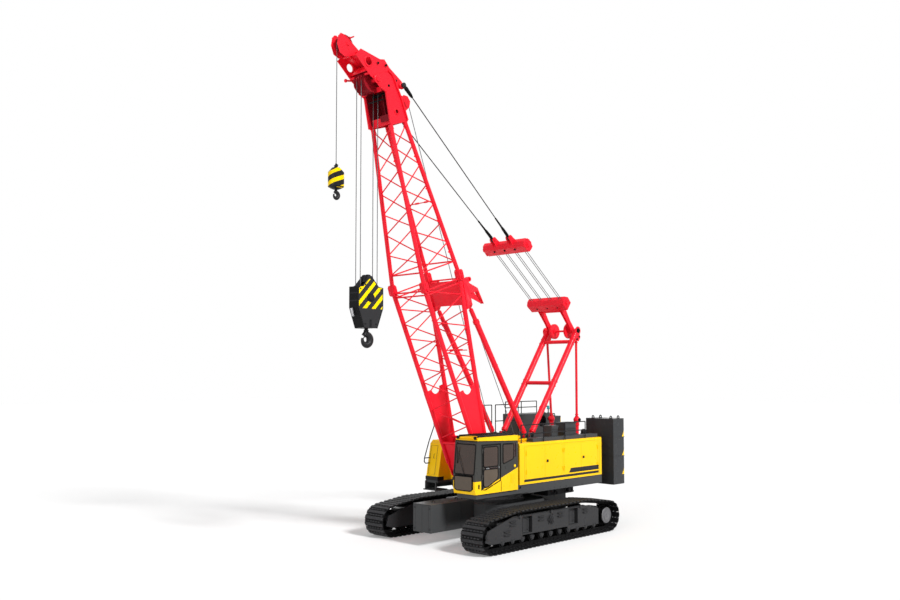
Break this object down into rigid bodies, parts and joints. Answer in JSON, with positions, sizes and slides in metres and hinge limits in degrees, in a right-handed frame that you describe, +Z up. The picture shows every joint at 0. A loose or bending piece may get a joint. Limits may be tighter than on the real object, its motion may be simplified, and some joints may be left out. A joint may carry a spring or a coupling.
{
  "type": "crawler crane",
  "caption": "Crawler crane with a lattice boom in two sections, gantry, pendants, backstops, main hook block and auxiliary hook, slewing on two tracks.",
  "frame": {"origin": "on the ground, on the slewing axis", "axes": "+X forward along the boom, +Y to the left, the cab's side, +Z up"},
  "size_m": [11.8107, 5.04, 14.7392],
  "materials": {
    "red_paint": "gloss enamel",
    "yellow_paint": "gloss enamel",
    "dark_grey_paint": "satin enamel",
    "black_paint": "satin enamel",
    "tinted_glass": "clear tinted",
    "rope_steel": "drawn wire",
    "machined_steel": "machined",
    "striped_paint": "yellow and black stripes",
    "hook_steel": "forged, painted",
    "drum_paint": "satin enamel",
    "engine_iron": "as cast, painted",
    "seat_fabric": "woven"
  },
  "bodies": {
    "undercarriage": {"carbody": "dark_grey_paint", "carbody_ballast": "dark_grey_paint", "slew_ring": "machined_steel", "crawler_frame_left": "dark_grey_paint", "crawler_frame_right": "dark_grey_paint", "running_gear_left": "black_paint", "running_gear_right": "black_paint", "track_left": "black_paint", "track_right": "black_paint"},
    "upperworks": {"slewing_bed": "dark_grey_paint", "house_left": "yellow_paint", "house_right": "yellow_paint", "front_step": "dark_grey_paint", "engine_hood": "dark_grey_paint", "engine_block": "engine_iron", "roof_boxes_left": "yellow_paint", "cab_shell": "yellow_paint", "cab_glass": "tinted_glass", "cab_seat": "seat_fabric", "roof_guard": "black_paint", "counterweight_tray": "dark_grey_paint", "counterweight_left": "dark_grey_paint", "counterweight_right": "dark_grey_paint", "handrails": "black_paint", "gantry_legs": "red_paint", "gantry_struts": "red_paint"},
    "cab_door": {"cab_door": "yellow_paint", "cab_door_glass": "tinted_glass"},
    "house_door_1": {"house_door_1": "yellow_paint"},
    "house_door_2": {"house_door_2": "yellow_paint"},
    "house_door_3": {"house_door_3": "yellow_paint"},
    "house_door_4": {"house_door_4": "yellow_paint"},
    "main_drum": {"main_drum": "drum_paint"},
    "aux_drum": {"aux_drum": "drum_paint"},
    "luffing_drum": {"luffing_drum": "drum_paint"},
    "boom": {"boom_base_sides": "red_paint", "boom_base_lacing": "red_paint", "boom_joint_bracket": "red_paint", "boom_top_chords": "red_paint", "boom_top_lacing": "red_paint", "boom_head": "red_paint"},
    "main_sheaves": {"main_sheaves": "machined_steel", "main_ropes": "rope_steel"},
    "hook_block": {"hook_block": "striped_paint", "block_sheaves": "machined_steel"},
    "main_hook": {"main_hook": "hook_steel"},
    "aux_sheave": {"aux_sheave": "machined_steel", "aux_rope": "rope_steel"},
    "aux_weight": {"aux_weight": "striped_paint"},
    "aux_hook": {"aux_hook": "hook_steel"},
    "gantry_bail": {"gantry_bail": "red_paint", "luffing_ropes": "rope_steel"},
    "spreader": {"spreader": "red_paint", "pendants": "rope_steel"},
    "backstop_tubes": {"backstop_tubes": "red_paint"},
    "backstop_rods": {"backstop_rods": "machined_steel"}
  },
  "joints": [
    {"name": "slew", "type": "hinge", "parent": "undercarriage", "child": "upperworks", "pos_m": [0, 0, 1.3], "axis": [0, 0, 1], "continuous": true},
    {"name": "cab_door_swing", "type": "hinge", "parent": "upperworks", "child": "cab_door", "pos_m": [2.49, 1.7243, 1.62], "axis": [0, 0, -1], "range_deg": [0, 90]},
    {"name": "house_door_1_swing", "type": "hinge", "parent": "upperworks", "child": "house_door_1", "pos_m": [0.33, 1.6143, 1.86], "axis": [0, 0, -1], "range_deg": [0, 90]},
    {"name": "house_door_2_swing", "type": "hinge", "parent": "upperworks", "child": "house_door_2", "pos_m": [-1.54, 1.6143, 1.86], "axis": [0, 0, 1], "range_deg": [0, 90]},
    {"name": "house_door_3_swing", "type": "hinge", "parent": "upperworks", "child": "house_door_3", "pos_m": [-1.6, 1.6143, 1.86], "axis": [0, 0, -1], "range_deg": [0, 90]},
    {"name": "house_door_4_swing", "type": "hinge", "parent": "upperworks", "child": "house_door_4", "pos_m": [-3.47, 1.6143, 1.86], "axis": [0, 0, 1], "range_deg": [0, 90]},
    {"name": "main_drum_turn", "type": "hinge", "parent": "upperworks", "child": "main_drum", "pos_m": [-0.06, 0, 2.09], "axis": [0, 1, 0], "range_deg": [-3443, 5162]},
    {"name": "aux_drum_turn", "type": "hinge", "parent": "upperworks", "child": "aux_drum", "pos_m": [-1.69, 0, 2.09], "axis": [0, 1, 0], "range_deg": [-697, 2273]},
    {"name": "luffing_drum_turn", "type": "hinge", "parent": "upperworks", "child": "luffing_drum", "pos_m": [-2.5, 0, 2.09], "axis": [0, 1, 0], "continuous": true},
    {"name": "luff", "type": "hinge", "parent": "upperworks", "child": "boom", "pos_m": [1.03, 0, 1.72], "axis": [0, 1, 0], "range_deg": [-6.7, 40]},
    {"name": "main_sheave_turn", "type": "hinge", "parent": "boom", "child": "main_sheaves", "pos_m": [5.49932, 0, 13.55167], "axis": [0, 1, 0], "range_deg": [-40, 6.7]},
    {"name": "main_hoist", "type": "slide", "parent": "main_sheaves", "child": "hook_block", "axis": [0, 0, 1], "range_m": [-5.4, 3.6], "deforming": ["main_ropes"]},
    {"name": "main_hook_swivel", "type": "hinge", "parent": "hook_block", "child": "main_hook", "pos_m": [5.49932, 0, 7.30167], "axis": [0, 0, 1], "continuous": true},
    {"name": "aux_sheave_turn", "type": "hinge", "parent": "boom", "child": "aux_sheave", "pos_m": [6.35569, 0, 14.44422], "axis": [0, 1, 0], "range_deg": [-40, 6.7]},
    {"name": "aux_hoist", "type": "slide", "parent": "aux_sheave", "child": "aux_weight", "axis": [0, 0, 1], "range_m": [-9.5, 2.9], "deforming": ["aux_rope"]},
    {"name": "aux_hook_swivel", "type": "hinge", "parent": "aux_weight", "child": "aux_hook", "pos_m": [6.62569, 0, 10.86422], "axis": [0, 0, 1], "continuous": true},
    {"name": "bail_swing", "type": "hinge", "parent": "upperworks", "child": "gantry_bail", "pos_m": [-3.6, 0, 6.66], "axis": [0, 1, 0], "range_deg": [-5.79, 33.55]},
    {"name": "spreader_haul", "type": "slide", "parent": "gantry_bail", "child": "spreader", "axis": [0.7803, 0, 0.6254], "range_m": [-0.7569, 4.469], "deforming": ["luffing_ropes"]},
    {"name": "backstop_swing", "type": "hinge", "parent": "upperworks", "child": "backstop_tubes", "pos_m": [-0.73, 0, 3.11], "axis": [0, 1, 0], "range_deg": [-6.44, 37.45]},
    {"name": "backstop_slide", "type": "slide", "parent": "backstop_tubes", "child": "backstop_rods", "axis": [0.5434, 0, 0.8395], "range_m": [-0.264, 1.5262]}
  ],
  "couplings": [
    {"joint": "main_sheave_turn", "follows": "luff", "ratio": -1},
    {"joint": "aux_sheave_turn", "follows": "luff", "ratio": -1},
    {"joint": "bail_swing", "follows": "luff", "ratio": 0.83365},
    {"joint": "spreader_haul", "follows": "luff", "m_per_rad": 6.3871},
    {"joint": "backstop_swing", "follows": "luff", "ratio": 0.93137},
    {"joint": "backstop_slide", "follows": "luff", "m_per_rad": 2.1717},
    {"joint": "main_drum_turn", "follows": "main_hoist", "rad_per_m": -16.667},
    {"joint": "aux_drum_turn", "follows": "aux_hoist", "rad_per_m": -4.1667}
  ]
}
